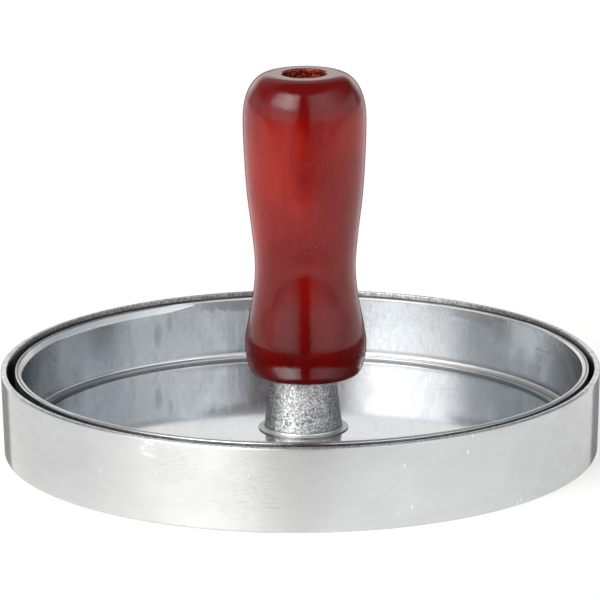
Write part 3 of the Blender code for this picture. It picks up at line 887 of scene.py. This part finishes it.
def stained_wood():
    """Close-grained hardwood, stained orange-red, its colour darker towards the foot and at the shoulder,
    under lacquer.
    """
    skin = Finish("stained_wood", Roughness=0.5, Specular_IOR_Level=0.0,
                  Coat_Roughness=0.06, Coat_IOR=1.43)
    # Painted shade: the lacquer coat fades where the handle is seen edge-on, which gives dark lines at its
    # outline.
    skin.feed("Coat Weight", skin.edge_shade(0.76, 0.90, 0.10))
    height = skin.height()
    fibres = skin.noise(skin.stretch(1900, 1900, 60), 4, 0.6)
    figure = skin.noise(skin.stretch(190, 190, 14), 3, 0.55, 0.4)
    clouds = skin.noise(skin.stretch(75, 75, 38), 3, 0.55)
    pore_shape = skin.remap(skin.noise(skin.stretch(3000, 3000, 2400), 2), 0.55, 0.64)
    pore_share = skin.math("ADD", skin.math("MULTIPLY", skin.patches(PORE_PATCHES), 0.85), 0.05)
    pores = skin.both(pore_shape, pore_share)
    in_well = skin.both(
        skin.remap(skin.radius(), WELL_RADIUS + 0.3 * MM, WELL_RADIUS + 0.6 * MM, 1, 0),
        skin.remap(height, HANDLE_LENGTH - WELL_DEPTH, HANDLE_LENGTH - WELL_DEPTH + MM),
    )

    upper = skin.blend(skin.remap(clouds, 0.36, 0.64), (0.22, 0.003, 0.002, 1), (0.33, 0.009, 0.003, 1))
    lower = skin.blend(skin.remap(clouds, 0.36, 0.64), (0.09, 0.001, 0.001, 1), (0.13, 0.002, 0.001, 1))
    # Darker towards the foot, and darker again at the shoulder above 60 mm.
    red = skin.blend(skin.remap(height, 6 * MM, 40 * MM), lower, upper)
    red = skin.blend(skin.remap(height, 60 * MM, 67 * MM, 0, 0.8), red, (0.10, 0.002, 0.002, 1))
    red = skin.blend(skin.remap(figure, 0.42, 0.72, 0, 0.28), red, (0.16, 0.002, 0.001, 1))
    red = skin.blend(skin.remap(fibres, 0.48, 0.75, 0, 0.30), red, (0.12, 0.002, 0.001, 1))
    red = skin.blend(skin.math("MULTIPLY", pores, 0.85), red, (0.065, 0.001, 0.001, 1))
    speckle = skin.remap(skin.noise(skin.stretch(1300, 1300, 1300), 3, 0.7), 0.48, 0.60)
    well_wall = skin.blend(speckle, (0.10, 0.006, 0.003, 1), (0.34, 0.07, 0.035, 1))
    red = skin.blend(in_well, red, well_wall)
    skin.feed("Base Color", red)

    peel = skin.noise(skin.stretch(620, 620, 480), 2, 0.5)
    fine_peel = skin.noise(skin.stretch(2300, 2300, 1700), 2, 0.5)
    grip = skin.band(height, 36 * MM, 46 * MM, 55 * MM, 62 * MM)
    fine_depth = skin.math("ADD", skin.math("MULTIPLY", grip, 0.045 * MM), 0.022 * MM)
    relief = skin.math("MULTIPLY", peel, 0.026 * MM)
    for texture, depth in ((fine_peel, fine_depth), (fibres, 0.007 * MM), (pores, -0.04 * MM)):
        relief = skin.math("ADD", relief, skin.math("MULTIPLY", texture, depth))
    skin.feed("Coat Normal", skin.bump(relief, 1.0))
    skin.feed("Normal", skin.bump(fibres, 0.01 * MM))
    return skin.material


def zinc_steel():
    """Zinc-plated steel, a little yellow, dulled in patches."""
    skin = Finish("zinc_steel", Metallic=1.0)
    clouds = skin.noise(skin.stretch(900, 900, 900), 4, 0.6)
    skin.feed("Base Color", skin.blend(clouds, grey(0.52, 0.03), grey(0.66, 0.04)))
    skin.feed("Roughness", skin.remap(clouds, 0.3, 0.7, 0.22, 0.42))
    skin.feed("Normal", skin.bump(clouds, 0.01 * MM))
    return skin.material


# ---- Stage: floor, surroundings and camera -----------------------------------------------------

# The studio's light round about the press: (azimuth in degrees from the camera, + to its right; colour;
# strength). One list holds below the horizon, one just above it, and one higher up, where the two soft
# boxes hang.
WHITE = (1.00, 1.00, 1.00)
COOL = (0.93, 0.97, 1.00)
BLUISH = (0.84, 0.93, 1.00)
BELOW_HORIZON = (
    (-90, COOL, 0.30),
    (-66, WHITE, 0.40),
    (-52, WHITE, 0.65),
    (-36, WHITE, 0.85),
    (-18, WHITE, 0.45),
    (-9, COOL, 0.03),
    (7, COOL, 0.03),
    (12, COOL, 0.45),
    (45, COOL, 0.70),
    (80, COOL, 0.50),
    (100, COOL, 0.35),
)
NEAR_HORIZON = (
    (-180, WHITE, 1.25),
    (-168, WHITE, 1.30),
    (-150, WHITE, 1.80),
    (-130, BLUISH, 0.40),
    (-120, BLUISH, 0.80),
    (-70, COOL, 0.95),
    (-62, WHITE, 1.40),
    (-36, WHITE, 1.55),
    (-18, WHITE, 1.15),
    (-9, COOL, 0.05),
    (7, COOL, 0.05),
    (12, COOL, 1.05),
    (45, COOL, 1.40),
    (80, COOL, 1.10),
    (86, BLUISH, 1.05),
    (116, BLUISH, 0.95),
    (124, BLUISH, 0.32),
    (135, BLUISH, 0.35),
    (150, WHITE, 1.60),
    (168, WHITE, 1.30),
)
HIGHER_UP = (
    (-180, WHITE, 0.50),
    (-120, WHITE, 0.20),
    (-78, WHITE, 0.50),
    (-68, WHITE, 3.40),
    (-36, WHITE, 7.40),
    (-18, WHITE, 4.20),
    (-9, COOL, 0.05),
    (7, COOL, 0.05),
    (12, COOL, 1.20),
    (45, COOL, 1.75),
    (75, COOL, 0.80),
    (110, COOL, 0.15),
    (150, COOL, 0.08),
)
NEAR_FROM = -6.0  # elevations, in degrees, between which each list gives way to the next
NEAR_FULLY = 4.0
HIGHER_FROM = 12.0
HIGHER_FULLY = 26.0
CEILING_FROM = 50.0
CEILING_FULLY = 63.0
CEILING = (0.10, 0.10, 0.10, 1.0)


def make_world():
    world = bpy.data.worlds.new("studio")
    world.use_nodes = True
    nodes, links = world.node_tree.nodes, world.node_tree.links
    direction = nodes.new("ShaderNodeTexCoord").outputs["Generated"]
    round_about = nodes.new("ShaderNodeTexGradient")
    round_about.gradient_type = "RADIAL"
    links.new(direction, round_about.inputs["Vector"])
    upward = nodes.new("ShaderNodeSeparateXYZ")
    links.new(direction, upward.inputs[0])

    def surround(lights, label):
        ramp = nodes.new("ShaderNodeValToRGB")
        ramp.name = label
        links.new(round_about.outputs["Fac"], ramp.inputs["Fac"])
        stops = sorted(
            ((0.25 + azimuth / 360) % 1.0, colour, strength) for azimuth, colour, strength in lights
        )
        elements = ramp.color_ramp.elements
        while len(elements) > 1:
            elements.remove(elements[-1])
        for index, (position, colour, strength) in enumerate(stops):
            stop = elements[0] if index == 0 else elements.new(position)
            stop.position = position
            stop.color = (*(strength * channel for channel in colour), 1.0)
        return ramp.outputs["Color"]

    def mix(factor, first, second, label):
        """first where the factor is 0, second where it is 1."""
        made = nodes.new("ShaderNodeMix")
        made.data_type = "RGBA"
        made.name = label
        links.new(factor, made.inputs["Factor"])
        for socket, colour in ((6, first), (7, second)):
            if isinstance(colour, bpy.types.NodeSocket):
                links.new(colour, made.inputs[socket])
            else:
                made.inputs[socket].default_value = colour
        return made.outputs[2]

    def above(low, high):
        """0 below one elevation, 1 above the other, both in degrees."""
        made = nodes.new("ShaderNodeMapRange")
        made.interpolation_type = "SMOOTHSTEP"
        made.inputs["From Min"].default_value = math.sin(math.radians(low))
        made.inputs["From Max"].default_value = math.sin(math.radians(high))
        links.new(upward.outputs["Z"], made.inputs["Value"])
        return made.outputs[0]

    light = mix(above(NEAR_FROM, NEAR_FULLY), surround(BELOW_HORIZON, "below_horizon"),
                surround(NEAR_HORIZON, "near_horizon"), "horizon")
    light = mix(above(HIGHER_FROM, HIGHER_FULLY), light, surround(HIGHER_UP, "higher_up"), "walls")
    light = mix(above(CEILING_FROM, CEILING_FULLY), light, CEILING, "ceiling")
    # What the camera itself sees past the floor's edge is a plain pale backdrop.
    seen = nodes.new("ShaderNodeLightPath")
    light = mix(seen.outputs["Is Camera Ray"], light, (1.0, 1.0, 1.0, 1.0), "backdrop")
    links.new(light, nodes["Background"].inputs["Color"])
    bpy.context.scene.world = world


# The pale table runs on behind and to the sides, and ends close in front, where the dark room beyond it
# gives the dark streak in the lacquer and the darker middle of the ring.
TABLE_RADIUS = 4.0
TABLE_FRONT = -0.16
TABLE_COLUMNS = 96


def make_table():
    edge_angle = math.asin(TABLE_FRONT / TABLE_RADIUS)
    sweep = math.pi - 2 * edge_angle
    corners = []
    for step in range(TABLE_COLUMNS + 1):
        angle = edge_angle + sweep * step / TABLE_COLUMNS
        corners.append((TABLE_RADIUS * math.cos(angle), TABLE_RADIUS * math.sin(angle), 0.0))
    mesh = bpy.data.meshes.new("studio_table")
    mesh.from_pydata(corners, [], [tuple(range(len(corners)))])
    table = bpy.data.objects.new("studio_table", mesh)
    table.location.z = -0.05 * MM
    paint = Finish("studio_table", Base_Color=(0.57, 0.57, 0.57, 1), Roughness=0.9,
                   Emission_Color=(1.0, 0.99, 0.96, 1), Emission_Strength=0.53)
    mesh.materials.append(paint.material)
    bpy.context.scene.collection.objects.link(table)


CAMERA_TARGET = Vector((0.0, 0.0, 35.33 * MM))
CAMERA_DISTANCE = 1.19
CAMERA_ELEVATION = math.radians(14.68)
CAMERA_ROLL = math.radians(-0.354)
FOCAL_LENGTH_IN_WIDTHS = 8.5074
SENSOR_WIDTH = 36.0  # in mm, as Blender counts lenses


def make_camera():
    data = bpy.data.cameras.new("camera")
    data.sensor_width = SENSOR_WIDTH
    data.lens = FOCAL_LENGTH_IN_WIDTHS * SENSOR_WIDTH
    data.clip_start = 0.01
    camera = bpy.data.objects.new("camera", data)
    bpy.context.scene.collection.objects.link(camera)
    back = Vector((0.0, -math.cos(CAMERA_ELEVATION), math.sin(CAMERA_ELEVATION)))
    turn = Matrix.Rotation(math.pi / 2 - CAMERA_ELEVATION, 4, "X") @ Matrix.Rotation(CAMERA_ROLL, 4, "Z")
    camera.matrix_world = Matrix.Translation(CAMERA_TARGET + CAMERA_DISTANCE * back) @ turn
    bpy.context.scene.camera = camera


# ---- The whole scene ---------------------------------------------------------------------------

def stand_for(piece, node, body, material):
    """piece is shown in place of the CAD node, moves with its body and takes its finish."""
    piece.data.materials.append(material)
    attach(piece, body)
    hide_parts(node)


make_camera()
make_world()
make_table()
bpy.context.scene.view_settings.view_transform = "Standard"

steel = zinc_steel()
stand_for(make_mould_ring(), "mould_ring", "mould", ring_aluminium())
stand_for(make_press_plate(), "press_plate", "press", plate_aluminium())
stand_for(make_handle(), "wood_handle", "press", stained_wood())
stand_for(make_screw(), "handle_screw", "press", steel)
stand_for(make_washer(), "flat_washer", "press", steel)
